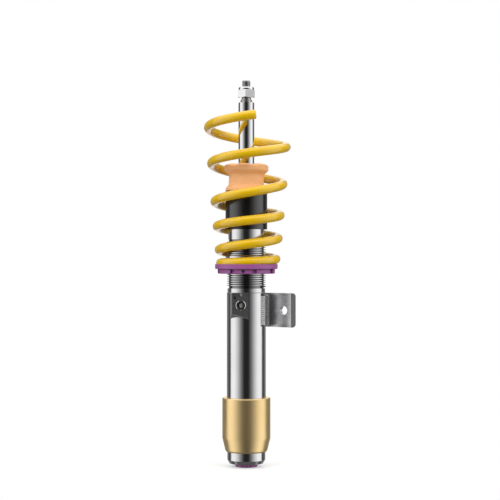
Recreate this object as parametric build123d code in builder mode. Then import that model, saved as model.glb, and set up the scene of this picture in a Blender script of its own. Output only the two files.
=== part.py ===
from build123d import *
from math import cos, pi, radians, sin, sqrt
import os

os.makedirs("parts", exist_ok=True)

# Adjustable coilover strut.  Millimetres, +Z up along the strut, -Y is the front.
# The origin is on the strut axis, at the middle of the knuckle clamp surface.
# Diameters are built up from the rod outwards, heights from the clamp upwards.

# Clearances
move_gap = 0.3          # between pieces that move past each other without guiding
run_gap = 0.05          # radial, between a shaft and the bore that guides it

# Damper core
rod_d = 22.0
cylinder_id = 36.0
cylinder_wall = 1.5
reserve_gap = 3.0       # oil space between the inner cylinder and the upper tube
upper_wall = 2.5
lower_wall = 2.0

# Lengths along the strut
lower_tube_top = 173.3
lower_tube_bottom = -47.0
upper_overlap = 34.0    # upper tube's spigot inside the lower tube
band_height = 5.6       # plain band between the thread and the lower tube
thread_length = 67.6
neck_length = 55.5      # plain upper tube above the thread
foot_height = 15.9      # steel foot below the lower tube
rod_reach = 134.3       # rod shoulder above the top of the upper tube

# Thread of the upper tube
thread_pitch = 3.0
thread_depth = 0.63 * thread_pitch      # crest above the neck's surface
thread_cut = 0.27 * thread_pitch        # valley below it
ridge_root = 0.4 * thread_pitch         # half widths of the thread's ridge
ridge_crest = 0.15 * thread_pitch
band_step = 1.1         # plain band's radial step above the neck

# Knuckle clamp sleeve
clamp_wall = 6.25
clamp_length = 55.6
clamp_taper_length = 17.0
clamp_taper_wall = 2.2
clamp_tail = 2.0

# Perch
perch_height = 205.3    # where the spring seat rests on the collar
collar_height = 6.1
collar_wall = 10.9
insert_wall = 1.56
insert_lip = 18.9       # threaded insert above the collar
seat_thickness = 1.5
seat_rim = 5.2          # height of the seat's rim
rim_wall = 1.0
rim_room = 0.35         # radial, between the rim and the flat end coil
slot_count = 8
slot_width = 7.0
slot_depth = 3.6
lock_screw_d = 5.0
lock_screw_angle = -96.3

# Spring
wire_d = 12.8
end_room = 0.45         # radial, between the flat end coil and the insert's lip
spring_offset = 2.5     # above its end coil the spring's axis stands this far to the right
spring_room = 3.25      # between the cone and the insert's lip, on average
spring_flare = 0.0885   # growth of radius per millimetre of height
spring_lean = 0.0135    # fall of the top coil towards the right, per millimetre of x
spring_turns = 5.277
tip_turns = 0.125       # flat end lying on the seat
cone_start = 0.31       # turns above the seat where the end coil begins to open into the cone
cone_turns = 0.24       # and how many turns that takes
first_pitch = 2.564 * wire_d    # lifts the first turn clear of the flat end
pitch_law = [(-0.1, 0.0), (1.0, first_pitch), (2.6, 31.3), (3.35, 54.5), (3.9, 54.6),
             (4.25, 46.6), (5.3, 54.6)]         # (turns above the seat, pitch there)

# Bump stop and dust sleeve
bump_height = 42.9
bump_spigot = 5.3
bump_waist_inset = 4.55         # the waist inside the dust sleeve's surface
bump_head_outset = 1.75         # the head outside it
dust_wall = 1.6
dust_length = 53.3
dust_room = 2.35        # radial, between the upper tube and the dust sleeve

# Stud and top nut
stud_d = 12.0
stud_pitch = 1.5
nut_flats = 22.0
nut_height = 11.0
nut_lock_height = 4.2

# Stabiliser bracket
plate = 4.7
link_bracket_top = 172.3
link_bracket_height = 47.2
wing_reach = 57.0       # along the wing, from where it leaves the tube
wing_angle = 50.8       # where the wing leaves the tube, from +X
link_hole_d = 12.2
link_hole_reach = 44.4
link_hole_drop = 24.0   # below the bracket's top edge
lip_length = 6.8

# Brake line bracket
sheet = 2.5
line_bracket_left = -19.6
line_bracket_right = 3.2
line_bracket_height = 34.6
clinch_hole_d = 6.8
clinch_flange_d = 13.6
clinch_body_d = 10.0
clinch_x = -7.5
clinch_drop = 16.8

# Radii and levels that follow from the sizes above
rod_r = rod_d / 2
cylinder_r = cylinder_id / 2
cylinder_outer_r = cylinder_r + cylinder_wall
upper_inner_r = cylinder_outer_r + reserve_gap
upper_r = upper_inner_r + upper_wall
lower_inner_r = upper_r
lower_r = lower_inner_r + lower_wall
thread_r = upper_r + thread_depth
insert_bore_r = thread_r + move_gap
insert_r = insert_bore_r + insert_wall
collar_r = insert_r + collar_wall
spring_seat_radius = insert_r + spring_room + wire_d / 2        # wire centre line at the seat
end_radius = insert_r + end_room + wire_d / 2                   # wire centre line of the end coil
seat_r = end_radius + wire_d / 2 + rim_room + rim_wall
dust_inner_r = upper_r + dust_room
dust_r = dust_inner_r + dust_wall
thread_bottom = lower_tube_top + band_height
thread_top = thread_bottom + thread_length
upper_top = thread_top + neck_length
rod_shoulder = upper_top + rod_reach


def outline(*points):
    """Closed outline in the XZ plane: radius or X first, height second."""
    with BuildSketch(Plane.XZ) as shape:
        with BuildLine():
            Polyline(*points, close=True)
        make_face()
    return shape.sketch


def tube_outline(inner, outer, bottom, top):
    """Wall section of a plain ring or tube."""
    return outline((inner, bottom), (outer, bottom), (outer, top), (inner, top))


def thread_ridge(root, crest, half_root, half_crest, bottom, turns, pitch):
    """Helical ridge with its root buried in the wall that carries it."""
    with BuildLine() as path:
        Helix(pitch=pitch, height=turns * pitch, radius=root, center=(0, 0, bottom))
    with BuildSketch(Plane(origin=(root, 0, bottom), x_dir=(1, 0, 0), z_dir=(0, -1, 0))) as tooth:
        with BuildLine():
            Polyline((0, -half_root), (crest - root, -half_crest), (crest - root, half_crest),
                     (0, half_root), close=True)
        make_face()
    with BuildPart() as ridge:
        sweep(tooth.sketch, path=path.line, is_frenet=True)
    return ridge.part


# ---------------------------------------------------------------- housing tubes

with BuildPart() as lower_tube:
    revolve(tube_outline(lower_inner_r, lower_r, lower_tube_bottom, lower_tube_top), axis=Axis.Z)
    rim = lower_tube.edges().filter_by(GeomType.CIRCLE).group_by(Axis.Z)[-1].sort_by(SortBy.RADIUS)[-1]
    chamfer(rim, length=0.6)
lower_tube.part.label = "lower_tube"
export_step(lower_tube.part, "parts/lower_tube.step")

ridge_sink = 0.4
male_turns = int((thread_length - thread_pitch) / thread_pitch)
male_start = thread_bottom + (thread_length - male_turns * thread_pitch) / 2
male_ridge = thread_ridge(upper_r - thread_cut - ridge_sink, thread_r, ridge_root, ridge_crest,
                          male_start, male_turns, thread_pitch)
with BuildPart() as threaded_tube:
    revolve(outline((upper_inner_r, lower_tube_top - upper_overlap),
                    (upper_r, lower_tube_top - upper_overlap),
                    (upper_r, lower_tube_top),
                    (upper_r + band_step, lower_tube_top),
                    (upper_r + band_step, thread_bottom),
                    (upper_r - thread_cut, thread_bottom),
                    (upper_r - thread_cut, thread_top),
                    (upper_r, thread_top),
                    (upper_r, upper_top),
                    (upper_inner_r, upper_top)), axis=Axis.Z)
    add(male_ridge)
threaded_tube.part.label = "threaded_tube"
export_step(threaded_tube.part, "parts/threaded_tube.step")

# ---------------------------------------------------------------- rod guide group

cap_flange = 4.0
cap_depth = 8.0
seal_height = 5.0
guide_height = 17.0
guide_spigot = 6.0
bush_wall = 1.45
cap_top = upper_top + cap_flange
seal_top = upper_top - cap_depth
guide_top = seal_top - seal_height
guide_bottom = guide_top - guide_height
bush_outer_r = rod_r + run_gap + bush_wall

with BuildPart() as gland_cap:
    revolve(outline((rod_r + 1.2, seal_top), (upper_inner_r, seal_top), (upper_inner_r, upper_top),
                    (upper_r, upper_top), (upper_r, cap_top - 0.8), (upper_r - 0.8, cap_top),
                    (rod_r + 1.2, cap_top)), axis=Axis.Z)
    with Locations(Plane.XY.offset(cap_top)):
        with PolarLocations((rod_r + upper_r) / 2 + 1, 4):
            Hole(radius=2.0, depth=3.0)
gland_cap.part.label = "gland_cap"
export_step(gland_cap.part, "parts/gland_cap.step")

with BuildPart() as rod_seal:
    revolve(outline((rod_r + run_gap, guide_top + 1.2), (rod_r + 1.4, guide_top), (upper_inner_r, guide_top),
                    (upper_inner_r, seal_top), (rod_r + 1.4, seal_top),
                    (rod_r + run_gap, seal_top - 1.2), (rod_r + run_gap + 0.6, guide_top + 2.5)),
            axis=Axis.Z)
rod_seal.part.label = "rod_seal"
export_step(rod_seal.part, "parts/rod_seal.step")

ring_d = 2.3
groove_height = 2.8
groove_middle = guide_top - 5.0
with BuildPart() as rod_guide:
    revolve(outline((bush_outer_r, guide_bottom), (cylinder_r, guide_bottom),
                    (cylinder_r, guide_bottom + guide_spigot),
                    (upper_inner_r, guide_bottom + guide_spigot),
                    (upper_inner_r, groove_middle - groove_height / 2),
                    (upper_inner_r - ring_d, groove_middle - groove_height / 2),
                    (upper_inner_r - ring_d, groove_middle + groove_height / 2),
                    (upper_inner_r, groove_middle + groove_height / 2),
                    (upper_inner_r, guide_top), (bush_outer_r, guide_top)), axis=Axis.Z)
rod_guide.part.label = "rod_guide"
export_step(rod_guide.part, "parts/rod_guide.step")

with BuildPart() as gland_o_ring:
    with BuildSketch(Plane.XZ):
        with Locations((upper_inner_r - ring_d / 2, groove_middle)):
            Circle(ring_d / 2)
    revolve(axis=Axis.Z)
gland_o_ring.part.label = "gland_o_ring"
export_step(gland_o_ring.part, "parts/gland_o_ring.step")

with BuildPart() as guide_bush:
    revolve(tube_outline(rod_r + run_gap, bush_outer_r, guide_bottom + 1, guide_top - 1), axis=Axis.Z)
guide_bush.part.label = "guide_bush"
export_step(guide_bush.part, "parts/guide_bush.step")

# ---------------------------------------------------------------- foot and base valve

foot_bottom = lower_tube_bottom - foot_height
foot_spigot = 11.0
foot_step = 0.6
foot_top = lower_tube_bottom + foot_spigot
foot_chamfer = 2.9
foot_chamfer_height = 5.0
knob_r = 15.65
knob_recess = 6.2
knob_drop = 4.8
knob_stem_r = 5.0
stem_length = 8.5
circlip_wall = 1.8
circlip_height = 1.0
needle_r = 2.0
foot_groove = lower_tube_bottom + 5.5
knob_top = foot_bottom + knob_recess - move_gap
stem_top = knob_top + stem_length
circlip_bottom = knob_top + 4.0

with BuildPart() as foot_plug:
    revolve(outline((needle_r + move_gap, foot_top), (lower_inner_r, foot_top),
                    (lower_inner_r, foot_groove + groove_height / 2),
                    (lower_inner_r - ring_d, foot_groove + groove_height / 2),
                    (lower_inner_r - ring_d, foot_groove - groove_height / 2),
                    (lower_inner_r, foot_groove - groove_height / 2),
                    (lower_inner_r, lower_tube_bottom),
                    (lower_r - foot_step, lower_tube_bottom),
                    (lower_r - foot_step, foot_bottom + foot_chamfer_height),
                    (lower_r - foot_step - foot_chamfer, foot_bottom),
                    (knob_r + move_gap, foot_bottom),
                    (knob_r + move_gap, foot_bottom + knob_recess),
                    (knob_stem_r + run_gap, foot_bottom + knob_recess),
                    (knob_stem_r + run_gap, circlip_bottom),
                    (knob_stem_r + circlip_wall - 0.6, circlip_bottom),
                    (knob_stem_r + circlip_wall - 0.6, circlip_bottom + circlip_height),
                    (knob_stem_r + run_gap, circlip_bottom + circlip_height),
                    (knob_stem_r + run_gap, stem_top + 1.5),
                    (needle_r + move_gap, stem_top + 1.5)), axis=Axis.Z)
foot_plug.part.label = "foot_plug"
export_step(foot_plug.part, "parts/foot_plug.step")

with BuildPart() as foot_o_ring:
    with BuildSketch(Plane.XZ):
        with Locations((lower_inner_r - ring_d / 2, foot_groove)):
            Circle(ring_d / 2)
    revolve(axis=Axis.Z)
foot_o_ring.part.label = "foot_o_ring"
export_step(foot_o_ring.part, "parts/foot_o_ring.step")

with BuildPart() as knob_circlip:
    revolve(tube_outline(knob_stem_r - 0.6, knob_stem_r + circlip_wall - 0.6, circlip_bottom,
                         circlip_bottom + circlip_height), axis=Axis.Z)
knob_circlip.part.label = "knob_circlip"
export_step(knob_circlip.part, "parts/knob_circlip.step")

knob_bottom = foot_bottom - knob_drop
lobe_count = 10
lobe_r = 3.2
spindle_r = 1.3
needle_tip = 0.7
compression_pitch = 1.0
with BuildPart() as compression_knob:
    revolve(outline((0, knob_bottom), (knob_r - 1.2, knob_bottom), (knob_r, knob_bottom + 1.2),
                    (knob_r, knob_top), (knob_stem_r, knob_top),
                    (knob_stem_r, circlip_bottom - move_gap),
                    (knob_stem_r - 0.6 - move_gap, circlip_bottom - move_gap),
                    (knob_stem_r - 0.6 - move_gap, circlip_bottom + circlip_height + move_gap),
                    (knob_stem_r, circlip_bottom + circlip_height + move_gap),
                    (knob_stem_r, stem_top), (spindle_r + move_gap, stem_top),
                    (spindle_r + move_gap, knob_top), (0, knob_top)), axis=Axis.Z)
    with BuildSketch(Plane.XY.offset(knob_bottom)):
        with PolarLocations(knob_r + lobe_r * 0.55, lobe_count):
            Circle(lobe_r)
    extrude(amount=knob_top - knob_bottom, mode=Mode.SUBTRACT)
    with BuildSketch(Plane.XY.offset(knob_bottom)):
        Rectangle(knob_r * 1.1, 2.4)
    extrude(amount=1.6, mode=Mode.SUBTRACT)
compression_knob.part.label = "compression_knob"
export_step(compression_knob.part, "parts/compression_knob.step")

valve_flange = 6.0
valve_spigot = 6.0
valve_post = 3.2
post_r = 4.2
valve_seat = foot_top + valve_flange
valve_top = valve_seat + valve_spigot
with BuildPart() as base_valve_body:
    revolve(outline((needle_r + move_gap, foot_top), (cylinder_outer_r, foot_top),
                    (cylinder_outer_r, valve_seat), (cylinder_r, valve_seat),
                    (cylinder_r, valve_top), (post_r, valve_top), (post_r, valve_top + valve_post),
                    (needle_r + move_gap, valve_top + valve_post)), axis=Axis.Z)
    with Locations(Plane.XY.offset(valve_top)):
        with PolarLocations(cylinder_r * 0.6, 6):
            Hole(radius=1.8)
base_valve_body.part.label = "base_valve_body"
export_step(base_valve_body.part, "parts/base_valve_body.step")

shim_thickness = 0.7
with BuildPart() as base_valve_shims:
    revolve(outline((post_r, valve_top), (cylinder_r * 0.8, valve_top),
                    (cylinder_r * 0.8, valve_top + shim_thickness),
                    (cylinder_r * 0.55, valve_top + shim_thickness),
                    (cylinder_r * 0.55, valve_top + 2 * shim_thickness),
                    (post_r, valve_top + 2 * shim_thickness)), axis=Axis.Z)
base_valve_shims.part.label = "base_valve_shims"
export_step(base_valve_shims.part, "parts/base_valve_shims.step")

needle_top = valve_top + valve_post - 2.0
needle_shoulder = stem_top + 3.5
with BuildPart() as compression_needle:
    revolve(outline((0, knob_top + 2.0), (spindle_r, knob_top + 2.0), (spindle_r, needle_shoulder),
                    (needle_r, needle_shoulder), (needle_r, needle_top - 3.0),
                    (needle_tip, needle_top), (0, needle_top)), axis=Axis.Z)
compression_needle.part.label = "compression_needle"
export_step(compression_needle.part, "parts/compression_needle.step")

with BuildPart() as inner_cylinder:
    revolve(tube_outline(cylinder_r, cylinder_outer_r, valve_seat, guide_bottom + guide_spigot), axis=Axis.Z)
inner_cylinder.part.label = "inner_cylinder"
export_step(inner_cylinder.part, "parts/inner_cylinder.step")

# ---------------------------------------------------------------- knuckle clamp sleeve

clamp_r = lower_r + clamp_wall
taper_end = -clamp_length / 2 - clamp_taper_length
with BuildPart() as adapter_sleeve:
    revolve(outline((lower_r, taper_end - clamp_tail), (lower_r + 1.0, taper_end - clamp_tail),
                    (lower_r + clamp_taper_wall, taper_end), (clamp_r, -clamp_length / 2),
                    (clamp_r, clamp_length / 2 - 0.8), (clamp_r - 0.8, clamp_length / 2),
                    (lower_r, clamp_length / 2)), axis=Axis.Z)
adapter_sleeve.part.label = "adapter_sleeve"
export_step(adapter_sleeve.part, "parts/adapter_sleeve.step")

# ---------------------------------------------------------------- stabiliser bracket

wing_along = Vector(sin(radians(wing_angle)), -cos(radians(wing_angle)), 0)
wing_out = Vector(cos(radians(wing_angle)), sin(radians(wing_angle)), 0)
link_bracket_bottom = link_bracket_top - link_bracket_height
saddle_front = -35.0
saddle_back = 118.0
saddle_inset = 2.8
lip_turn = 50.0         # the lip bends back towards the view plane from the wing
wing_corner = 4.5


def plan_sector(start, end, inner, outer):
    """Part of a ring in plan, between two angles from +X."""
    with BuildSketch() as sector:
        with BuildLine():
            CenterArc((0, 0), outer, start, end - start)
            CenterArc((0, 0), inner, start, end - start)
            for angle in (start, end):
                Line((inner * cos(radians(angle)), inner * sin(radians(angle))),
                     (outer * cos(radians(angle)), outer * sin(radians(angle))))
        make_face()
    return sector.sketch


leave = wing_out * lower_r
wing_end = leave + wing_along * wing_reach
lip_along = wing_along.rotate(Axis.Z, lip_turn)
lip_out = wing_out.rotate(Axis.Z, lip_turn)
lip_end = wing_end + lip_along * lip_length
elbow_scale = 1 / cos(radians(lip_turn / 2))
elbow = wing_end + (wing_out + lip_out).normalized() * (plate * elbow_scale)

with BuildPart() as stabilizer_bracket:
    with BuildSketch(Plane.XY.offset(link_bracket_bottom)):
        with BuildLine():
            Polyline(leave, wing_end, lip_end, lip_end + lip_out * plate, elbow,
                     leave + wing_out * plate, close=True)
        make_face()
    extrude(amount=link_bracket_height)
    outer_corners = stabilizer_bracket.edges().filter_by(
        lambda edge: abs(edge.center().Z - link_bracket_bottom) < 0.01
        or abs(edge.center().Z - link_bracket_top) < 0.01).filter_by(
        lambda edge: abs(edge.length - plate) < 0.01).sort_by(Axis.X)[-2:]
    fillet(outer_corners, radius=wing_corner)
    extrude(Plane.XY.offset(link_bracket_bottom)
            * plan_sector(wing_angle, saddle_back, lower_r, lower_r + plate),
            amount=link_bracket_height)
    hole_foot = leave + wing_along * link_hole_reach + Vector(0, 0, link_bracket_top - link_hole_drop)
    with Locations(Plane(origin=hole_foot, z_dir=-wing_out)):
        Hole(radius=link_hole_d / 2)
stabilizer_bracket.part.label = "stabilizer_bracket"
export_step(stabilizer_bracket.part, "parts/stabilizer_bracket.step")

with BuildPart() as bracket_saddle:
    extrude(Plane.XY.offset(link_bracket_bottom + saddle_inset)
            * plan_sector(saddle_front, wing_angle - 2, lower_r, lower_r + plate),
            amount=link_bracket_height - 2 * saddle_inset)
    add(stabilizer_bracket.part, mode=Mode.SUBTRACT)
bracket_saddle.part.label = "bracket_saddle"
export_step(bracket_saddle.part, "parts/bracket_saddle.step")

bead = 2.6
bead_span = 50.0
bead_sweep = 4.0        # degrees of tube under the upright bead along the saddle's front edge
bead_end = 1.0
bead_top = Vector(lower_r + plate - 0.3, 0, 0).rotate(Axis.Z, saddle_front)
bead_foot = Vector(lower_r, 0, 0).rotate(Axis.Z, saddle_front - bead_sweep)
bead_past = (bead_top - bead_foot).normalized()
with BuildSketch() as side_bead_cut:
    with BuildLine():
        Polyline(bead_foot - bead_past * 3, bead_top + bead_past * 3,
                 bead_top + bead_past * 3 + bead_past.rotate(Axis.Z, -90) * 8,
                 bead_foot - bead_past * 3 + bead_past.rotate(Axis.Z, -90) * 8, close=True)
    make_face()
with BuildPart() as bracket_welds:
    for level, lean in ((link_bracket_bottom, -1), (link_bracket_top, 1)):
        with BuildSketch(Plane.XZ.rotated((0, 0, wing_angle + 8))):
            with BuildLine():
                bead_tip = min(bead, lower_tube_top - level) if lean > 0 else bead
                Polyline((lower_r, level), (lower_r + bead, level),
                         (lower_r + bead * 0.2, level + lean * bead_tip),
                         (lower_r, level + lean * bead_tip), close=True)
            make_face()
        revolve(axis=Axis.Z, revolution_arc=bead_span)
    extrude(Plane.XY.offset(link_bracket_bottom + saddle_inset + bead_end)
            * (plan_sector(saddle_front - bead_sweep, saddle_front, lower_r, lower_r + plate)
               - Plane.XY * side_bead_cut.sketch),
            amount=link_bracket_height - 2 * (saddle_inset + bead_end))
bracket_welds.part.label = "bracket_welds"
export_step(bracket_welds.part, "parts/bracket_welds.step")

# ---------------------------------------------------------------- brake line bracket

plate_front = -(lower_r + sheet)
flange_x = line_bracket_left - 2.8
flange_y = -sqrt(lower_r ** 2 - flange_x ** 2)
box_top = lower_tube_top - 0.3
box_bottom = box_top - line_bracket_height - 2.5
front_left = Vector(line_bracket_left, plate_front, box_top - 27.7)
front_right = Vector(line_bracket_right, plate_front, box_top - 34.6)
back_left = Vector(line_bracket_left - 1.4, flange_y - 1.8, box_top - 35.4)
floor_up = (front_right - front_left).cross(back_left - front_left).normalized()

with BuildPart() as bracket_hollow:
    with BuildSketch(Plane.XY.offset(box_bottom)):
        with BuildLine():
            Polyline((line_bracket_right + 3, plate_front + sheet),
                     (line_bracket_left + sheet, plate_front + sheet),
                     (flange_x + sheet, flange_y + 2), (line_bracket_right + 3, flange_y + 2), close=True)
        make_face()
    extrude(amount=line_bracket_height + 6)
    split(bisect_by=Plane(origin=front_left + floor_up * sheet, z_dir=floor_up), keep=Keep.TOP)

with BuildPart() as brake_line_bracket:
    with BuildSketch(Plane.XY.offset(box_bottom)):
        with BuildLine():
            Polyline((line_bracket_right, plate_front), (line_bracket_left, plate_front),
                     (flange_x, flange_y), (line_bracket_right, flange_y), close=True)
        make_face()
    extrude(amount=box_top - box_bottom)
    split(bisect_by=Plane(origin=front_left, z_dir=floor_up), keep=Keep.TOP)
    add(bracket_hollow.part, mode=Mode.SUBTRACT)
    with Locations((0, 0, box_bottom)):
        Cylinder(lower_r, line_bracket_height + 6, align=(Align.CENTER, Align.CENTER, Align.MIN),
                 mode=Mode.SUBTRACT)
    with BuildSketch(Plane.XZ.offset(-plate_front)):
        with Locations((line_bracket_left + 3.6, box_top - 5.5)):
            SlotOverall(7.2, 3.2, rotation=90)
        with Locations((clinch_x + 0.6, box_top)):
            SlotOverall(9.0, 6.6, rotation=90)
        with Locations((clinch_x, box_top - clinch_drop)):
            Circle(clinch_body_d / 2)
    extrude(amount=-sheet, mode=Mode.SUBTRACT)
brake_line_bracket.part.label = "brake_line_bracket"
export_step(brake_line_bracket.part, "parts/brake_line_bracket.step")

clinch_proud = 1.2
with BuildPart() as clinch_nut:
    with BuildSketch(Plane.XZ.offset(-plate_front)):
        with Locations((clinch_x, box_top - clinch_drop)):
            Circle(clinch_flange_d / 2)
            Circle(clinch_hole_d / 2, mode=Mode.SUBTRACT)
    extrude(amount=clinch_proud)
    outer_rim = clinch_nut.edges().group_by(Axis.Y)[0].sort_by(SortBy.RADIUS)[-1]
    chamfer(outer_rim, length=0.5)
    with BuildSketch(Plane.XZ.offset(-plate_front)):
        with Locations((clinch_x, box_top - clinch_drop)):
            Circle(clinch_body_d / 2)
            Circle(clinch_hole_d / 2, mode=Mode.SUBTRACT)
    extrude(amount=-sheet)
clinch_nut.part.label = "clinch_nut"
export_step(clinch_nut.part, "parts/clinch_nut.step")

# ---------------------------------------------------------------- perch

seat_bottom = perch_height + move_gap
seat_face = seat_bottom + seat_thickness
seat_bore_r = insert_r + move_gap
collar_bottom = perch_height - collar_height
insert_top = perch_height + insert_lip

with BuildPart() as spring_seat:
    revolve(outline((seat_bore_r, seat_bottom), (seat_r - 0.8, seat_bottom),
                    (seat_r, seat_bottom + 0.8), (seat_r, seat_face + seat_rim - 0.4),
                    (seat_r - 0.4, seat_face + seat_rim),
                    (seat_r - rim_wall + 0.4, seat_face + seat_rim),
                    (seat_r - rim_wall, seat_face + seat_rim - 0.4), (seat_r - rim_wall, seat_face),
                    (seat_bore_r, seat_face)), axis=Axis.Z)
spring_seat.part.label = "spring_seat"
export_step(spring_seat.part, "parts/spring_seat.step")

screw_out = Vector(cos(radians(lock_screw_angle)), sin(radians(lock_screw_angle)), 0)
screw_level = collar_bottom + collar_height * 0.6
screw_axis = Plane(origin=(0, 0, screw_level), z_dir=screw_out)
with BuildPart() as adjuster_collar:
    revolve(outline((insert_r, collar_bottom), (collar_r - 0.8, collar_bottom),
                    (collar_r, collar_bottom + 0.8), (collar_r, perch_height),
                    (insert_r, perch_height)), axis=Axis.Z)
    with BuildSketch(Plane.XY.offset(collar_bottom)):
        with PolarLocations(collar_r, slot_count, start_angle=lock_screw_angle + 180 / slot_count):
            Rectangle(2 * slot_depth, slot_width)
    extrude(amount=collar_height, mode=Mode.SUBTRACT)
    with BuildSketch(screw_axis.offset(insert_r - 1)):
        Circle(lock_screw_d / 2)
    extrude(amount=collar_wall + 3, mode=Mode.SUBTRACT)
adjuster_collar.part.label = "adjuster_collar"
export_step(adjuster_collar.part, "parts/adjuster_collar.step")

# The insert's ridge runs in the middle of the tube thread's groove.
female_crest = upper_r + 0.6
ridge_slope = (ridge_root - ridge_crest) / (thread_depth + thread_cut + ridge_sink)
female_base = insert_bore_r + ridge_sink
male_height = female_crest - upper_r + thread_cut + ridge_sink
crest_half = thread_pitch / 2 - (ridge_root - ridge_slope * male_height) - move_gap
base_half = thread_pitch / 2 - ridge_crest - move_gap
insert_steps = int((collar_bottom + 2 - male_start) / thread_pitch) + 0.5
female_start = male_start + insert_steps * thread_pitch
female_turns = int((insert_top - 2 - female_start) / thread_pitch)
female_ridge = thread_ridge(female_base, female_crest, base_half, crest_half,
                            female_start, female_turns, thread_pitch)
with BuildPart() as collar_insert:
    revolve(outline((insert_bore_r, collar_bottom), (insert_r, collar_bottom),
                    (insert_r, insert_top - 0.8), (insert_r - 0.6, insert_top),
                    (insert_bore_r, insert_top)), axis=Axis.Z)
    add(female_ridge)
    with BuildSketch(screw_axis.offset(insert_bore_r - 2)):
        Circle(lock_screw_d / 2)
    extrude(amount=insert_wall + 3, mode=Mode.SUBTRACT)
collar_insert.part.label = "collar_insert"
export_step(collar_insert.part, "parts/collar_insert.step")

screw_recess = 1.4
with BuildPart() as lock_screw:
    with BuildSketch(screw_axis.offset(insert_bore_r + 0.2)):
        Circle(lock_screw_d / 2)
    extrude(amount=collar_r - screw_recess - insert_bore_r - 0.2)
    with BuildSketch(screw_axis.offset(collar_r - screw_recess)):
        RegularPolygon(radius=1.25, side_count=6, major_radius=False)
    extrude(amount=-2.6, mode=Mode.SUBTRACT)
lock_screw.part.label = "lock_screw"
export_step(lock_screw.part, "parts/lock_screw.step")

# ---------------------------------------------------------------- coil spring

spring_floor = seat_face + move_gap + wire_d / 2


def pitch_at(turn):
    """Pitch in millimetres per turn, straight between the stations of pitch_law."""
    if turn <= pitch_law[0][0]:
        return pitch_law[0][1]
    for (low, pitch_low), (high, pitch_high) in zip(pitch_law, pitch_law[1:]):
        if turn <= high:
            return pitch_low + (pitch_high - pitch_low) * (turn - low) / (high - low)
    return pitch_law[-1][1]


steps_per_turn = 16
coil_turns = tip_turns + spring_turns
coil_steps = round(coil_turns * steps_per_turn)
coil_points = []
height = 0.0
for step in range(coil_steps + 1):
    turn = coil_turns * step / coil_steps - tip_turns
    if step > 0:
        height += pitch_at(turn - coil_turns / coil_steps / 2) * coil_turns / coil_steps
    opened = min(max((turn - cone_start) / cone_turns, 0.0), 1.0)
    opened = opened * opened * (3 - 2 * opened)
    radius = end_radius + (spring_seat_radius + spring_flare * height - end_radius) * opened
    angle = pi + 2 * pi * turn
    x = spring_offset * opened + radius * cos(angle)
    lean = spring_lean * x * height / 200
    coil_points.append((x, radius * sin(angle), spring_floor + height - lean))

with BuildPart() as coil_spring:
    with BuildLine() as coil:
        Spline(*coil_points)
    with BuildSketch(Plane(origin=coil.line @ 0, z_dir=coil.line % 0)):
        Circle(wire_d / 2)
    sweep(path=coil.line, is_frenet=False)
coil_spring.part.label = "coil_spring"
export_step(coil_spring.part, "parts/coil_spring.step")

# ---------------------------------------------------------------- bump stop and dust sleeve

shelf_bottom = cap_top + move_gap
shelf = 2.0
bump_bottom = shelf_bottom + shelf
bump_top = bump_bottom + bump_height
dust_top = bump_bottom + bump_spigot
bump_bore_r = rod_r + move_gap
bump_flange_r = dust_r - 0.15
bump_waist_r = dust_r - bump_waist_inset
bump_head_r = dust_r + bump_head_outset

with BuildPart() as bump_stop:
    with BuildSketch(Plane.XZ) as bump_profile:
        with BuildLine():
            Polyline((bump_bore_r, bump_bottom), (dust_inner_r - 0.2, bump_bottom),
                     (dust_inner_r - 0.2, dust_top), (bump_flange_r, dust_top),
                     (bump_flange_r, dust_top + 3.2), (bump_waist_r, dust_top + 9.0),
                     (bump_waist_r, bump_top - 17.0), (bump_head_r, bump_top - 11.5),
                     (bump_head_r, bump_top - 4.5), (bump_head_r - 5.5, bump_top),
                     (bump_bore_r, bump_top), close=True)
        make_face()
        bulges = bump_profile.vertices().filter_by(
            lambda corner: corner.X > bump_waist_r - 0.1 and corner.Y > dust_top + 1).sort_by(Axis.Y)
        fillet(bulges, radius=2.2)
    revolve(axis=Axis.Z)
    for spoke in range(6):
        with BuildSketch(Plane.YZ.rotated((0, 0, 60 * spoke + 15))):
            with Locations((0, bump_top + 3.4)):
                Circle(5.2)
        extrude(amount=2 * bump_head_r, mode=Mode.SUBTRACT)
bump_stop.part.label = "bump_stop"
export_step(bump_stop.part, "parts/bump_stop.step")

with BuildPart() as dust_sleeve:
    revolve(outline((bump_bore_r + 1, shelf_bottom), (dust_inner_r, shelf_bottom),
                    (dust_inner_r, dust_top - dust_length), (dust_r, dust_top - dust_length),
                    (dust_r, dust_top), (dust_inner_r, dust_top),
                    (dust_inner_r, bump_bottom), (bump_bore_r + 1, bump_bottom)), axis=Axis.Z)
dust_sleeve.part.label = "dust_sleeve"
export_step(dust_sleeve.part, "parts/dust_sleeve.step")

# ---------------------------------------------------------------- rod, piston and nut

stop_gap = move_gap
bumper_height = 9.0
bumper_room = 1.5       # radial, between the bumper and the inner cylinder
stop_ring_height = 2.0
stop_ring_groove = 0.7
piston_height = 18.0
piston_post = 27.0      # rod shoulder carrying the piston, below the rod guide
tail_r = 6.0
tail_length = 35.0
piston_nut_height = 9.0
piston_nut_flats = 19.0
band_seat = 1.1
band_length = 10.0
seat_cone = 3.0
neck_r = 6.7
bumper_top = guide_bottom - stop_gap
bumper_bottom = bumper_top - bumper_height
bumper_r = cylinder_r - bumper_room
ring_bottom = bumper_bottom - stop_ring_height
piston_shoulder = guide_bottom - piston_post
stud_base = rod_shoulder + seat_cone
nut_bottom = stud_base + 3.1
nut_top = nut_bottom + nut_height + nut_lock_height
stud_top = nut_top + 8.7
adjuster_depth = 12.8
rebound_needle_r = 2.0
bore_r = rebound_needle_r + move_gap
adjuster_r = 3.5
socket_bottom = stud_top - adjuster_depth

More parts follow.
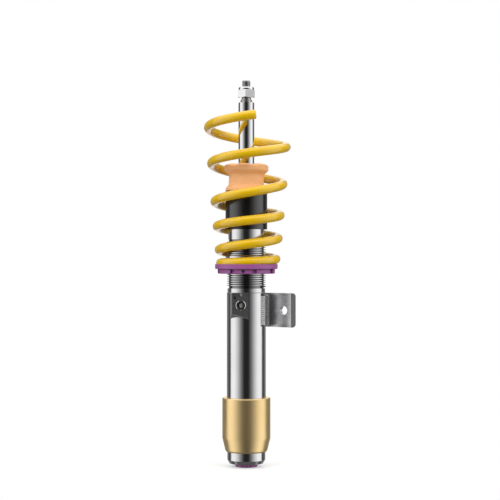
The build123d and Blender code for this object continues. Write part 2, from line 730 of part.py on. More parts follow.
stud_ridge = thread_ridge(stud_d / 2 - 1.15, stud_d / 2, 0.68, 0.12,
                          nut_top + 0.6, 4.6, stud_pitch)
with BuildPart() as piston_rod:
    revolve(outline((bore_r, piston_shoulder - tail_length), (tail_r, piston_shoulder - tail_length),
                    (tail_r, piston_shoulder), (rod_r, piston_shoulder), (rod_r, ring_bottom),
                    (rod_r - stop_ring_groove, ring_bottom),
                    (rod_r - stop_ring_groove, ring_bottom + stop_ring_height),
                    (rod_r, ring_bottom + stop_ring_height), (rod_r, rod_shoulder - 1.2),
                    (rod_r - 1.2, rod_shoulder), (8.2, rod_shoulder), (8.0, stud_base),
                    (neck_r, stud_base), (neck_r, nut_bottom - 0.6), (stud_d / 2, nut_bottom),
                    (stud_d / 2, nut_top), (stud_d / 2 - 0.9, nut_top + 0.6),
                    (stud_d / 2 - 0.9, stud_top - 0.8), (stud_d / 2 - 1.5, stud_top),
                    (adjuster_r + run_gap, stud_top), (adjuster_r + run_gap, socket_bottom),
                    (bore_r, socket_bottom)), axis=Axis.Z)
    add(stud_ridge)
    with BuildSketch(Plane.XZ):
        with Locations((0, piston_shoulder + 6)):
            Circle(1.6)
    extrude(amount=rod_d, both=True, mode=Mode.SUBTRACT)
piston_rod.part.label = "piston_rod"
export_step(piston_rod.part, "parts/piston_rod.step")

with BuildPart() as top_nut:
    with BuildSketch(Plane.XY.offset(nut_bottom)):
        RegularPolygon(radius=nut_flats / 2, side_count=6, major_radius=False, rotation=24)
    extrude(amount=nut_height)
    with BuildSketch(Plane.XZ):
        with BuildLine():
            Polyline((0, nut_bottom), (nut_flats / 2 - 0.3, nut_bottom),
                     (nut_flats / 2 + 1.75, nut_bottom + 1.2),
                     (nut_flats / 2 + 1.75, nut_bottom + nut_height - 1.2),
                     (nut_flats / 2 - 0.3, nut_bottom + nut_height), (0, nut_bottom + nut_height), close=True)
        make_face()
    revolve(axis=Axis.Z, mode=Mode.INTERSECT)
    with BuildSketch(Plane.XZ):
        with BuildLine():
            Polyline((0, nut_bottom + nut_height), (nut_flats / 2 - 0.2, nut_bottom + nut_height),
                     (nut_flats / 2 - 0.2, nut_top - 2.0), (nut_flats / 2 - 1.0, nut_top - 0.6),
                     (nut_flats / 2 - 2.4, nut_top), (0, nut_top), close=True)
        make_face()
    revolve(axis=Axis.Z)
    with BuildSketch(Plane.XY.offset(nut_bottom)):
        Circle(stud_d / 2)
    extrude(amount=nut_height + nut_lock_height, mode=Mode.SUBTRACT)
top_nut.part.label = "top_nut"
export_step(top_nut.part, "parts/top_nut.step")

with BuildPart() as top_out_bumper:
    revolve(outline((rod_r, bumper_bottom), (bumper_r, bumper_bottom), (bumper_r, bumper_top - 3),
                    (bumper_r - 2, bumper_top), (rod_r, bumper_top)), axis=Axis.Z)
top_out_bumper.part.label = "top_out_bumper"
export_step(top_out_bumper.part, "parts/top_out_bumper.step")

with BuildPart() as rebound_stop_ring:
    revolve(tube_outline(rod_r - stop_ring_groove, (rod_r + cylinder_r) / 2, ring_bottom, bumper_bottom),
            axis=Axis.Z)
rebound_stop_ring.part.label = "rebound_stop_ring"
export_step(rebound_stop_ring.part, "parts/rebound_stop_ring.step")

shim_stack = 2 * shim_thickness
piston_top = piston_shoulder - shim_stack
piston_bottom = piston_top - piston_height
piston_r = cylinder_r - move_gap
groove_r = cylinder_r - run_gap - band_seat - run_gap
band_bottom = piston_bottom + (piston_height - band_length) / 2
with BuildPart() as piston:
    revolve(outline((tail_r, piston_bottom), (piston_r, piston_bottom),
                    (piston_r, band_bottom - move_gap), (groove_r, band_bottom - move_gap),
                    (groove_r, band_bottom + band_length + move_gap),
                    (piston_r, band_bottom + band_length + move_gap),
                    (piston_r, piston_top), (tail_r, piston_top)), axis=Axis.Z)
    with Locations(Plane.XY.offset(piston_top)):
        with PolarLocations((tail_r + groove_r) / 2, 8):
            Hole(radius=1.9)
piston.part.label = "piston"
export_step(piston.part, "parts/piston.step")

with BuildPart() as piston_band:
    revolve(tube_outline(groove_r + run_gap, cylinder_r - run_gap, band_bottom, band_bottom + band_length),
            axis=Axis.Z)
piston_band.part.label = "piston_band"
export_step(piston_band.part, "parts/piston_band.step")

for shims_name, foot, lean in (("compression_shims", piston_top, 1), ("rebound_shims", piston_bottom, -1)):
    with BuildPart() as shims:
        revolve(outline((tail_r, foot), (cylinder_r * 0.8, foot),
                        (cylinder_r * 0.8, foot + lean * shim_thickness),
                        (cylinder_r * 0.62, foot + lean * shim_thickness),
                        (cylinder_r * 0.62, foot + lean * shim_stack),
                        (tail_r, foot + lean * shim_stack)), axis=Axis.Z)
    shims.part.label = shims_name
    export_step(shims.part, f"parts/{shims_name}.step")

nut_foot = piston_bottom - shim_stack - piston_nut_height
with BuildPart() as piston_nut:
    with BuildSketch(Plane.XY.offset(nut_foot)):
        RegularPolygon(radius=piston_nut_flats / 2, side_count=6, major_radius=False)
        Circle(tail_r, mode=Mode.SUBTRACT)
    extrude(amount=piston_nut_height)
piston_nut.part.label = "piston_nut"
export_step(piston_nut.part, "parts/piston_nut.step")

# ---------------------------------------------------------------- rebound adjuster

adjuster_top = stud_top - 1.0
with BuildPart() as rebound_adjuster:
    revolve(outline((0, adjuster_top), (adjuster_r, adjuster_top), (adjuster_r, socket_bottom + 0.6),
                    (spindle_r + move_gap, socket_bottom + 0.6),
                    (spindle_r + move_gap, adjuster_top - 4.5), (0, adjuster_top - 4.5)), axis=Axis.Z)
    with BuildSketch(Plane.XY.offset(adjuster_top)):
        RegularPolygon(radius=1.5, side_count=6, major_radius=False)
    extrude(amount=-2.5, mode=Mode.SUBTRACT)
rebound_adjuster.part.label = "rebound_adjuster"
export_step(rebound_adjuster.part, "parts/rebound_adjuster.step")

needle_foot = piston_shoulder + 1.0
needle_head = socket_bottom - 1.4
with BuildPart() as rebound_needle:
    revolve(outline((0, needle_foot), (needle_tip, needle_foot), (rebound_needle_r, needle_foot + 4),
                    (rebound_needle_r, needle_head), (spindle_r, needle_head),
                    (spindle_r, adjuster_top - 6.0), (0, adjuster_top - 6.0)), axis=Axis.Z)
rebound_needle.part.label = "rebound_needle"
export_step(rebound_needle.part, "parts/rebound_needle.step")
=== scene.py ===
import math
import bpy
import bmesh
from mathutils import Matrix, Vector


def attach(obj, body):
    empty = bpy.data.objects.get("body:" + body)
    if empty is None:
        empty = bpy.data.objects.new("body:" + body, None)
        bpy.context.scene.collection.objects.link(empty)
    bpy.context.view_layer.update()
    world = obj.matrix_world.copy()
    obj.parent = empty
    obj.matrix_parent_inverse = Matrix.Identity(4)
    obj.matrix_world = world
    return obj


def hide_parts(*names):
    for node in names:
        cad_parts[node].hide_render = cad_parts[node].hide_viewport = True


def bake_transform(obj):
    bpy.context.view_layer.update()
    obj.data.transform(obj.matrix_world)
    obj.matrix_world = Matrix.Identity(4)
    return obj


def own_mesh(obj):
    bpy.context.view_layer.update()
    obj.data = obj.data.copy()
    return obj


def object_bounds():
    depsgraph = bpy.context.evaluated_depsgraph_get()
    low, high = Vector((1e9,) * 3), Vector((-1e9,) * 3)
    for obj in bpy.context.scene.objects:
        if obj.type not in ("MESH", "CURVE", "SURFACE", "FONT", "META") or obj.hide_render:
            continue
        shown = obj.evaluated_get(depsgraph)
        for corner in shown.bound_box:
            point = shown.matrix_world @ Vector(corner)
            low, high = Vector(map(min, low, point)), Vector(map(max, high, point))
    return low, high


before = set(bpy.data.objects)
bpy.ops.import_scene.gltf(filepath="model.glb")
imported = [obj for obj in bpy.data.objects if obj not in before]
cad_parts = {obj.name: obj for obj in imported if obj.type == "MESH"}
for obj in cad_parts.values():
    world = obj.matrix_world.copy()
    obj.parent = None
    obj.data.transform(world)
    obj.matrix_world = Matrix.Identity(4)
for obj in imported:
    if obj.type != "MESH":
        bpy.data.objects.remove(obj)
cad_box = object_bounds()
MM = 0.001

# metres, as the materials see them
THREAD_BOTTOM = 0.1789
THREAD_TOP = 0.2465
THREAD_ROOT = 0.0243
THREAD_CREST = 0.0262
ROD_SHOULDER = 0.4363


# ------------------------------------------------------------------ materials

def new_material(name):
    mat = bpy.data.materials.new(name)
    mat.use_nodes = True
    nodes, links = mat.node_tree.nodes, mat.node_tree.links
    nodes.clear()
    out = nodes.new("ShaderNodeOutputMaterial")
    bsdf = nodes.new("ShaderNodeBsdfPrincipled")
    links.new(bsdf.outputs["BSDF"], out.inputs["Surface"])
    coord = nodes.new("ShaderNodeTexCoord")
    return mat, nodes, links, bsdf, coord.outputs["Object"]


def noise(nodes, links, where, scale, stretch=(1, 1, 1), detail=3.0, rough=0.5):
    mapping = nodes.new("ShaderNodeMapping")
    mapping.inputs["Scale"].default_value = stretch
    links.new(where, mapping.inputs["Vector"])
    tex = nodes.new("ShaderNodeTexNoise")
    tex.inputs["Scale"].default_value = scale
    tex.inputs["Detail"].default_value = detail
    tex.inputs["Roughness"].default_value = rough
    links.new(mapping.outputs["Vector"], tex.inputs["Vector"])
    return tex.outputs["Fac"]


def ranged(nodes, links, value, low, high, src_low=0.3, src_high=0.7):
    node = nodes.new("ShaderNodeMapRange")
    node.inputs["From Min"].default_value = src_low
    node.inputs["From Max"].default_value = src_high
    node.inputs["To Min"].default_value = low
    node.inputs["To Max"].default_value = high
    links.new(value, node.inputs["Value"])
    return node.outputs["Result"]


def mixed(nodes, links, value, first, second):
    """Mix of two colours, each given as three numbers or as another node's output."""
    node = nodes.new("ShaderNodeMix")
    node.data_type = "RGBA"
    for key, colour in (("A", first), ("B", second)):
        if isinstance(colour, bpy.types.NodeSocket):
            links.new(colour, node.inputs[key])
        else:
            node.inputs[key].default_value = (*colour, 1)
    links.new(value, node.inputs["Factor"])
    return node.outputs["Result"]


def lathe_rings(nodes, links, where):
    """Fine rings round the vertical axis, as turning leaves them."""
    return noise(nodes, links, where, 3.0, (1, 1, 900), detail=5, rough=0.65)


def height_of(nodes, links, where):
    axes = nodes.new("ShaderNodeSeparateXYZ")
    links.new(where, axes.inputs[0])
    return axes.outputs["Z"]


def from_axis(nodes, links, where):
    """Distance from the vertical axis."""
    flat = nodes.new("ShaderNodeVectorMath")
    flat.operation = "MULTIPLY"
    flat.inputs[1].default_value = (1, 1, 0)
    links.new(where, flat.inputs[0])
    reach = nodes.new("ShaderNodeVectorMath")
    reach.operation = "LENGTH"
    links.new(flat.outputs["Vector"], reach.inputs[0])
    return reach.outputs["Value"]


def bumped(nodes, links, bsdf, heights):
    """Chain of bumps: (height output, strength, depth in metres)."""
    last = None
    for value, strength, depth in heights:
        node = nodes.new("ShaderNodeBump")
        node.inputs["Strength"].default_value = strength
        node.inputs["Distance"].default_value = depth
        links.new(value, node.inputs["Height"])
        if last is not None:
            links.new(last, node.inputs["Normal"])
        last = node.outputs["Normal"]
    links.new(last, bsdf.inputs["Normal"])


def metal(name, light, dark, rough, spread, turned=0.0, grain=0.0, patch=25, metallic=1.0):
    """Bare, plated or anodised metal.

    turned is the strength of the rings left by the lathe, grain that of fine pitting, patch the
    scale of the cloudy changes of colour, and metallic is below 1 for a slightly diffuse surface.
    """
    mat, nodes, links, bsdf, obj = new_material(name)
    bsdf.inputs["Metallic"].default_value = metallic
    cloud = noise(nodes, links, obj, patch, detail=4)
    rings = lathe_rings(nodes, links, obj)
    links.new(mixed(nodes, links, ranged(nodes, links, cloud, 0, 1), light, dark),
              bsdf.inputs["Base Color"])
    both = nodes.new("ShaderNodeMath")
    both.operation = "ADD"
    links.new(ranged(nodes, links, rings, -spread, spread), both.inputs[0])
    links.new(ranged(nodes, links, cloud, rough - spread * 0.5, rough + spread * 0.5),
              both.inputs[1])
    links.new(both.outputs[0], bsdf.inputs["Roughness"])
    bumps = []
    if turned:
        bumps.append((rings, turned, 0.00005))
    if grain:
        bumps.append((noise(nodes, links, obj, 2500, detail=2), grain, 0.00008))
    if bumps:
        bumped(nodes, links, bsdf, bumps)
    return mat


def coating(name, base, deep, rough, spread, peel, peel_scale, coat=0.0, ior=1.5, pores=0.0):
    """Paint, moulded plastic, rubber or foam.

    peel is the strength of the surface's waviness, pores that of its fine pitting.
    """
    mat, nodes, links, bsdf, obj = new_material(name)
    bsdf.inputs["IOR"].default_value = ior
    bsdf.inputs["Coat Weight"].default_value = coat
    bsdf.inputs["Coat Roughness"].default_value = 0.12
    cloud = noise(nodes, links, obj, 40, detail=4)
    links.new(mixed(nodes, links, ranged(nodes, links, cloud, 0, 1), base, deep),
              bsdf.inputs["Base Color"])
    fine = noise(nodes, links, obj, 220, detail=3)
    links.new(ranged(nodes, links, fine, rough - spread, rough + spread), bsdf.inputs["Roughness"])
    bumps = [(noise(nodes, links, obj, peel_scale, detail=2), peel, 0.0002)]
    if pores:
        bumps.append((noise(nodes, links, obj, 3000, detail=3, rough=0.7), pores, 0.00015))
    bumped(nodes, links, bsdf, bumps)
    return mat


def rod_chrome():
    """Hard chrome on the rod; the neck and stud above its shoulder are bare steel, darker and duller."""
    mat, nodes, links, bsdf, obj = new_material("chromed_rod")
    bsdf.inputs["Metallic"].default_value = 1.0
    bare = ranged(nodes, links, height_of(nodes, links, obj), 0, 1,
                  ROD_SHOULDER - 0.0003, ROD_SHOULDER + 0.0003)
    cloud = ranged(nodes, links, noise(nodes, links, obj, 60, detail=4), 0, 1)
    rings = lathe_rings(nodes, links, obj)
    plated = mixed(nodes, links, cloud, (0.83, 0.83, 0.84), (0.79, 0.79, 0.80))
    steel = mixed(nodes, links, cloud, (0.55, 0.55, 0.55), (0.42, 0.42, 0.43))
    links.new(mixed(nodes, links, bare, plated, steel), bsdf.inputs["Base Color"])
    polish = nodes.new("ShaderNodeMix")
    links.new(bare, polish.inputs["Factor"])
    links.new(ranged(nodes, links, rings, 0.05, 0.09), polish.inputs["A"])
    links.new(ranged(nodes, links, rings, 0.30, 0.42), polish.inputs["B"])
    links.new(polish.outputs["Result"], bsdf.inputs["Roughness"])
    bumped(nodes, links, bsdf, [(rings, 0.05, 0.00005)])
    return mat


def threaded_stainless():
    """Polished tube with painted shade in its thread: the base colour is darker in the valleys between
    the bright crests.
    """
    mat, nodes, links, bsdf, obj = new_material("threaded_stainless")
    bsdf.inputs["Metallic"].default_value = 1.0
    # painted shade: mask that darkens the base colour towards the thread's root, only within the thread's
    # height
    inside = nodes.new("ShaderNodeMath")
    inside.operation = "COMPARE"
    links.new(height_of(nodes, links, obj), inside.inputs[0])
    inside.inputs[1].default_value = (THREAD_BOTTOM + THREAD_TOP) / 2
    inside.inputs[2].default_value = (THREAD_TOP - THREAD_BOTTOM) / 2
    low = ranged(nodes, links, from_axis(nodes, links, obj), 1, 0, THREAD_ROOT, THREAD_CREST)
    painted_valley_shade = nodes.new("ShaderNodeMath")
    painted_valley_shade.operation = "MULTIPLY"
    links.new(low, painted_valley_shade.inputs[0])
    links.new(inside.outputs[0], painted_valley_shade.inputs[1])
    cloud = ranged(nodes, links, noise(nodes, links, obj, 25, detail=4), 0, 1)
    rings = lathe_rings(nodes, links, obj)
    crest = mixed(nodes, links, cloud, (0.80, 0.80, 0.80), (0.74, 0.74, 0.745))
    # dark colour of the painted shade in the thread's valleys
    shade = mixed(nodes, links, cloud, (0.26, 0.26, 0.26), (0.20, 0.20, 0.20))
    links.new(mixed(nodes, links, painted_valley_shade.outputs[0], crest, shade), bsdf.inputs["Base Color"])
    links.new(ranged(nodes, links, rings, 0.10, 0.16), bsdf.inputs["Roughness"])
    bumped(nodes, links, bsdf, [(rings, 0.05, 0.00005)])
    return mat


def weld_bead():
    """Bright weld metal with the close ripples of a bead laid upwards."""
    mat, nodes, links, bsdf, obj = new_material("weld_bead")
    bsdf.inputs["Metallic"].default_value = 0.7
    wave = nodes.new("ShaderNodeTexWave")
    wave.bands_direction = "Z"
    wave.inputs["Scale"].default_value = 110
    wave.inputs["Distortion"].default_value = 1.5
    wave.inputs["Detail"].default_value = 1.0
    links.new(obj, wave.inputs["Vector"])
    links.new(mixed(nodes, links, wave.outputs["Fac"], (0.55, 0.55, 0.55), (0.98, 0.98, 0.98)),
              bsdf.inputs["Base Color"])
    links.new(ranged(nodes, links, noise(nodes, links, obj, 300, detail=3), 0.35, 0.5),
              bsdf.inputs["Roughness"])
    bumped(nodes, links, bsdf, [(wave.outputs["Fac"], 0.8, 0.0006)])
    return mat


stainless = metal("polished_stainless", (0.80, 0.80, 0.80), (0.74, 0.74, 0.745), 0.13, 0.03,
                  turned=0.05)
chrome = metal("hard_chrome", (0.83, 0.83, 0.84), (0.79, 0.79, 0.80), 0.07, 0.02, turned=0.02)
gold = metal("gold_anodised", (1.0, 0.75, 0.37), (0.98, 0.71, 0.34), 0.33, 0.05, turned=0.12,
             metallic=0.92)
zinc = metal("zinc_plated_steel", (0.80, 0.80, 0.81), (0.66, 0.66, 0.67), 0.24, 0.05,
             grain=0.10, patch=60, metallic=0.95)
bright_zinc = metal("bright_zinc_nut", (0.92, 0.92, 0.93), (0.84, 0.84, 0.85), 0.15, 0.04,
                    grain=0.05, patch=80)
dark_steel = metal("phosphated_steel", (0.22, 0.22, 0.22), (0.15, 0.15, 0.155), 0.45, 0.06,
                   grain=0.3)
bronze = metal("bearing_bronze", (0.62, 0.45, 0.22), (0.52, 0.37, 0.18), 0.35, 0.05, turned=0.2)
yellow = coating("yellow_powder_coat", (0.86, 0.54, 0.004), (0.82, 0.50, 0.003), 0.18, 0.03,
                 0.03, 400, coat=0.6)
purple = coating("purple_composite", (0.36, 0.105, 0.32), (0.32, 0.09, 0.29), 0.36, 0.05,
                 0.12, 900, pores=0.12)
orange = coating("orange_foam", (1.0, 0.56, 0.27), (0.98, 0.50, 0.22), 0.55, 0.08,
                 0.35, 500, pores=0.5)
black = coating("black_sleeve_plastic", (0.008, 0.008, 0.008), (0.006, 0.006, 0.006), 0.20, 0.03,
                0.03, 600, ior=1.9)
rubber = coating("black_rubber", (0.02, 0.02, 0.02), (0.015, 0.015, 0.015), 0.6, 0.08,
                 0.3, 700, pores=0.3)
resin = coating("bearing_resin", (0.22, 0.14, 0.09), (0.18, 0.11, 0.07), 0.5, 0.08, 0.3, 700)

LOOKS = {
    threaded_stainless(): ["threaded_tube"],
    weld_bead(): ["bracket_welds"],
    stainless: ["lower_tube", "foot_plug", "collar_insert", "inner_cylinder",
                "base_valve_shims", "compression_shims", "rebound_shims"],
    rod_chrome(): ["piston_rod"],
    chrome: ["rebound_needle", "compression_needle"],
    gold: ["adapter_sleeve"],
    zinc: ["stabilizer_bracket", "bracket_saddle", "brake_line_bracket"],
    bright_zinc: ["top_nut", "clinch_nut", "lock_screw"],
    purple: ["spring_seat", "adjuster_collar", "compression_knob"],
    black: ["dust_sleeve"],
    rubber: ["rod_seal", "gland_o_ring", "foot_o_ring", "top_out_bumper"],
    dark_steel: ["gland_cap", "rod_guide", "knob_circlip", "base_valve_body", "piston", "piston_nut",
                 "rebound_stop_ring"],
    bronze: ["guide_bush", "rebound_adjuster"],
    resin: ["piston_band"],
    yellow: ["coil_spring"],
    orange: ["bump_stop"],
}
for mat, names in LOOKS.items():
    for name in names:
        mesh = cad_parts[name].data
        mesh.materials.clear()
        mesh.materials.append(mat)


def closed_object(name, mesh):
    """Object of a closed mesh, normals outward. All its faces but the many-sided ends look smooth."""
    bm = bmesh.new()
    bm.from_mesh(mesh)
    bmesh.ops.recalc_face_normals(bm, faces=bm.faces)
    for face in bm.faces:
        face.smooth = len(face.verts) == 4
    bm.to_mesh(mesh)
    bm.free()
    obj = bpy.data.objects.new(name, mesh)
    bpy.context.scene.collection.objects.link(obj)
    return obj


# ------------------------------------------------------------------ coil spring
# lengths in mm, as in the part's source

WIRE = 12.8
END_RADIUS = 35.6       # flat end coil
CONE_RADIUS = 38.4      # of the cone, at the seat
OFFSET = 2.5            # of the cone's axis from the strut's, to the right
FLARE = 0.0885          # growth of the cone's radius with height
LEAN = 0.0135
LEAN_HEIGHT = 200       # where the lean reaches its full share
TURNS = 5.277
TIP = 0.125             # turns before the coil's counted start
CONE_START = 0.31       # turn at which the end coil opens into the cone
CONE_TURNS = 0.24       # turns that this takes
END_HEIGHT = 213.8      # of the wire's centre on the seat
STROKE = 105.0
COIL_GAP = 0.6          # left between coils that close
PITCHES = [(-0.1, 0.0), (1.0, 2.564 * WIRE), (2.6, 31.3), (3.35, 54.5), (3.9, 54.6),
           (4.25, 46.6), (5.3, 54.6)]      # (turn, rise in mm a turn)
RINGS = 96              # per turn
AROUND = 28             # points round the wire


def pitch_at(turn):
    if turn <= PITCHES[0][0]:
        return PITCHES[0][1]
    for (low, pitch_low), (high, pitch_high) in zip(PITCHES, PITCHES[1:]):
        if turn <= high:
            return pitch_low + (pitch_high - pitch_low) * (turn - low) / (high - low)
    return PITCHES[-1][1]


def coil_rings():
    """Turn, coil radius, direction from the axis and centre of each ring of the wire."""
    rings, height = [], 0.0
    total = TIP + TURNS
    steps = round(total * RINGS)
    for step in range(steps + 1):
        turn = total * step / steps - TIP
        if rings:
            height += pitch_at(turn - total / steps / 2) * total / steps
        opened = min(max((turn - CONE_START) / CONE_TURNS, 0.0), 1.0)
        opened = opened * opened * (3 - 2 * opened)
        radius = END_RADIUS + (CONE_RADIUS + FLARE * height - END_RADIUS) * opened
        angle = math.pi + 2 * math.pi * turn
        out = Vector((math.cos(angle), math.sin(angle), 0))
        x = OFFSET * opened + radius * out.x
        z = END_HEIGHT + height - LEAN * x * height / LEAN_HEIGHT
        centre = Vector((x, radius * out.y, z)) * MM
        rings.append((turn, radius, out, centre))
    return rings


def coil_shares(rings):
    """How far each ring goes down with the top: softer where wider, never onto the next coil."""
    def closings(softness):
        done, total = [], 0.0
        for turn, radius, _, _ in rings:
            if turn > 1.0 - TIP:
                room = max(0.0, pitch_at(turn) - WIRE - COIL_GAP)
                total += min(softness * radius ** 3, room) / RINGS
            done.append(total)
        return done
    low, high = 0.0, 0.01
    for _ in range(40):
        middle = (low + high) / 2
        if closings(middle)[-1] < STROKE:
            low = middle
        else:
            high = middle
    done = closings(high)
    return [value / done[-1] for value in done]


def build_spring():
    rings = coil_rings()
    shares = coil_shares(rings)
    centres = [centre for _, _, _, centre in rings]
    mesh = bpy.data.meshes.new("coil_spring_wire")
    verts, faces, weights = [], [], []

    def ring(index, radius, slide=0.0):
        out = rings[index][2]
        along = (centres[min(index + 1, len(centres) - 1)] - centres[max(index - 1, 0)]).normalized()
        side = (out - along * out.dot(along)).normalized()
        up = along.cross(side)
        for k in range(AROUND):
            angle = 2 * math.pi * k / AROUND
            verts.append(centres[index] + along * slide
                         + (side * math.cos(angle) + up * math.sin(angle)) * radius)
            weights.append(shares[index])

    half = WIRE / 2 * MM
    bevel = 0.7 * MM
    ring(0, half - bevel, -bevel)
    for index in range(len(rings)):
        ring(index, half)
    ring(len(rings) - 1, half - bevel, bevel)
    count = len(verts) // AROUND
    for r in range(count - 1):
        for k in range(AROUND):
            a, b = r * AROUND + k, r * AROUND + (k + 1) % AROUND
            faces.append((a, a + AROUND, b + AROUND, b))
    faces.append(tuple(range(AROUND)))
    faces.append(tuple(reversed(range((count - 1) * AROUND, count * AROUND))))
    mesh.from_pydata(verts, [], faces)
    obj = closed_object("spring_wire", mesh)
    mesh.materials.append(yellow)
    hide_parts("coil_spring")
    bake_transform(obj)


build_spring()


# ------------------------------------------------------------------ bump stop

def turned_object(name, profile, segments, shape):
    """Closed ring turned from (radius, height) points in mm; shape moves a point by its angle."""
    verts, faces = [], []
    for k in range(segments):
        angle = 2 * math.pi * k / segments
        for i, (radius, height) in enumerate(profile):
            r, z = shape(radius, height, angle)
            verts.append((r * math.cos(angle) * MM, r * math.sin(angle) * MM, z * MM))
    count = len(profile)
    for k in range(segments):
        for i in range(count):
            here, after = k * count, (k + 1) % segments * count
            j = (i + 1) % count
            faces.append((here + i, after + i, after + j, here + j))
    mesh = bpy.data.meshes.new(name)
    mesh.from_pydata(verts, [], faces)
    return closed_object(name, mesh)


BUMP_BOTTOM = 308.3
BUMP_TOP = 351.2


def smooth_profile(corners, steps):
    """Rounds a closed (radius, height) outline by corner cutting."""
    points = corners
    for _ in range(steps):
        cut = []
        for (r0, z0), (r1, z1) in zip(points, points[1:] + points[:1]):
            cut.append((r0 * 0.75 + r1 * 0.25, z0 * 0.75 + z1 * 0.25))
            cut.append((r0 * 0.25 + r1 * 0.75, z0 * 0.25 + z1 * 0.75))
        points = cut
    return points


def bump_shape(radius, height, angle):
    """Crown of shallow lobes on top, and a slightly uneven skin."""
    if height > BUMP_TOP - 9 and radius > 12.5:
        share = min(1.0, (height - BUMP_TOP + 9) / 7)
        lobe = 0.5 + 0.5 * math.cos(6 * angle + 0.6)
        height -= 1.9 * share * lobe ** 2 * min(1.0, (radius - 12.5) / 8)
        radius -= 0.7 * share * lobe ** 2
    wobble = 0.12 * math.sin(5 * angle + height * 0.4) + 0.08 * math.sin(11 * angle - height * 0.7)
    return (radius + wobble if radius > 15 else radius), height


def build_bump_stop():
    corners = [(11.4, BUMP_BOTTOM), (27.1, BUMP_BOTTOM), (27.1, BUMP_BOTTOM + 4.9),
               (28.6, BUMP_BOTTOM + 5.4), (28.9, BUMP_BOTTOM + 7.8), (27.2, BUMP_BOTTOM + 10.8),
               (24.6, BUMP_BOTTOM + 13.4), (24.2, BUMP_BOTTOM + 17), (24.2, BUMP_TOP - 18.0),
               (25.0, BUMP_TOP - 15.0), (30.0, BUMP_TOP - 10.2), (30.8, BUMP_TOP - 8.6),
               (30.9, BUMP_TOP - 3.0), (30.1, BUMP_TOP - 1.7), (22.6, BUMP_TOP), (17.0, BUMP_TOP),
               (11.4, BUMP_TOP - 1.5)]
    dense = []
    for (r0, z0), (r1, z1) in zip(corners, corners[1:] + corners[:1]):
        for k in range(3):
            dense.append((r0 + (r1 - r0) * k / 3, z0 + (z1 - z0) * k / 3))
    obj = turned_object("bump_stop_foam", smooth_profile(dense, 2), 120, bump_shape)
    obj.data.materials.append(orange)
    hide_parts("bump_stop")
    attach(obj, "bump")
    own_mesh(obj)


build_bump_stop()

# ------------------------------------------------------------------ camera, floor and light

camera_data = bpy.data.cameras.new("camera")
camera_data.lens = 108
camera_data.sensor_width = 36
camera = bpy.data.objects.new("camera", camera_data)
camera.location = (0.00506, -2.077, 0.2318)
camera.rotation_euler = (math.radians(90), 0, 0)
bpy.context.scene.collection.objects.link(camera)
bpy.context.scene.camera = camera

FLOOR_RADIUS = 0.34
FLOOR_SIDES = 96
floor_z = cad_box[0][2] - 0.0002
floor_mesh = bpy.data.meshes.new("floor")
floor_mesh.from_pydata([(FLOOR_RADIUS * math.cos(2 * math.pi * k / FLOOR_SIDES),
                         FLOOR_RADIUS * math.sin(2 * math.pi * k / FLOOR_SIDES), floor_z)
                        for k in range(FLOOR_SIDES)], [], [tuple(range(FLOOR_SIDES))])
floor = bpy.data.objects.new("floor", floor_mesh)
bpy.context.scene.collection.objects.link(floor)
floor.visible_glossy = False


def floor_material():
    """Pale floor that thins out towards its edge, so that it ends in the white without a line."""
    mat, nodes, links, bsdf, obj = new_material("pale_floor")
    bsdf.inputs["Base Color"].default_value = (0.97, 0.97, 0.97, 1)
    bsdf.inputs["Roughness"].default_value = 0.9
    bsdf.inputs["Specular IOR Level"].default_value = 0.1
    links.new(ranged(nodes, links, from_axis(nodes, links, obj), 0.6, 0.0, 0.03, 0.30),
              bsdf.inputs["Alpha"])
    return mat


floor_mesh.materials.append(floor_material())

world = bpy.data.worlds.new("studio")
bpy.context.scene.world = world
world.use_nodes = True
wn, wl = world.node_tree.nodes, world.node_tree.links
wn.clear()
world_out = wn.new("ShaderNodeOutputWorld")
background = wn.new("ShaderNodeBackground")
wl.new(background.outputs[0], world_out.inputs["Surface"])
direction = wn.new("ShaderNodeTexCoord")
split = wn.new("ShaderNodeSeparateXYZ")
wl.new(direction.outputs["Generated"], split.inputs[0])


def world_math(operation, a, b=None):
    node = wn.new("ShaderNodeMath")
    node.operation = operation
    for socket, value in zip(node.inputs, (a, b)):
        if value is None:
            continue
        if isinstance(value, (int, float)):
            socket.default_value = value
        else:
            wl.new(value, socket)
    return node.outputs[0]


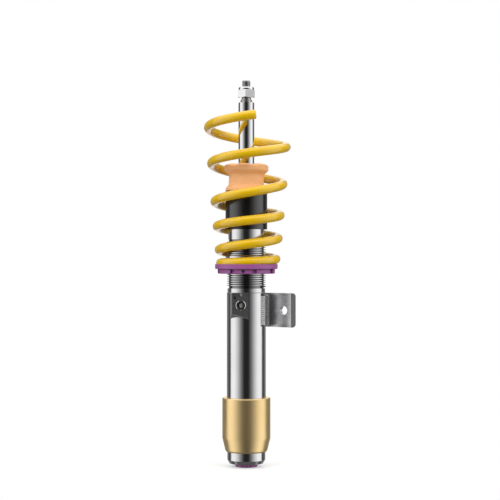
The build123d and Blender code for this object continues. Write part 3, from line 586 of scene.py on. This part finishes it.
# angle round the object from the front, 0 to 180 degrees either way
turn_from_front = world_math("MULTIPLY",
                             world_math("ARCTAN2", world_math("ABSOLUTE", split.outputs["X"]),
                                        world_math("MULTIPLY", split.outputs["Y"], -1.0)), 1 / math.pi)
ramp = wn.new("ShaderNodeValToRGB")
wl.new(turn_from_front, ramp.inputs[0])
# soft boxes on both sides, a dark room behind the camera, dark flags behind the soft boxes, a white sweep
stops = [(0, 0.018), (12, 0.02), (18, 0.055), (25, 0.14), (31, 0.21), (37, 0.32), (43, 0.46),
         (49, 0.60), (56, 0.75), (63, 0.88), (70, 1.02), (80, 1.08), (94, 1.08), (102, 1.0),
         (107, 0.16), (112, 0.10), (121, 0.05), (135, 0.17), (152, 0.24), (166, 0.25),
         (172, 1.0), (180, 1.0)]
elements = ramp.color_ramp.elements
while len(elements) > 1:
    elements.remove(elements[-1])
elements[0].position = 0
elements[0].color = (stops[0][1],) * 3 + (1,)
for angle, level in stops[1:]:
    stop = elements.new(angle / 180)
    stop.color = (level,) * 3 + (1,)

overhead = ranged(wn, wl, split.outputs["Z"], 0, 1, 0.45, 0.75)
below = ranged(wn, wl, split.outputs["Z"], 0, 1, -0.62, -0.82)
lit = mixed(wn, wl, overhead, ramp.outputs[0], (1.3, 1.3, 1.3))
lit = mixed(wn, wl, below, lit, (0.10, 0.10, 0.10))
# the camera itself sees plain white
to_camera = wn.new("ShaderNodeLightPath").outputs["Is Camera Ray"]
wl.new(mixed(wn, wl, to_camera, lit, (1.0, 1.0, 1.0)), background.inputs["Color"])
background.inputs["Strength"].default_value = 1.0


def soft_light(name, place, target, size, power):
    data = bpy.data.lights.new(name, "AREA")
    data.shape = "RECTANGLE"
    data.size, data.size_y = size
    data.energy = power
    light = bpy.data.objects.new(name, data)
    light.location = place
    towards = Vector(target) - Vector(place)
    light.rotation_euler = towards.to_track_quat("-Z", "Y").to_euler()
    light.visible_glossy = False
    bpy.context.scene.collection.objects.link(light)


soft_light("key_left", (-1.6, -1.6, 1.2), (0, 0, 0.2), (1.4, 1.6), 20)
soft_light("key_right", (1.6, -1.6, 1.2), (0, 0, 0.2), (1.4, 1.6), 20)
soft_light("top", (0, 0.2, 2.2), (0, 0, 0.2), (2.0, 2.0), 3)

bpy.context.scene.view_settings.view_transform = "Standard"
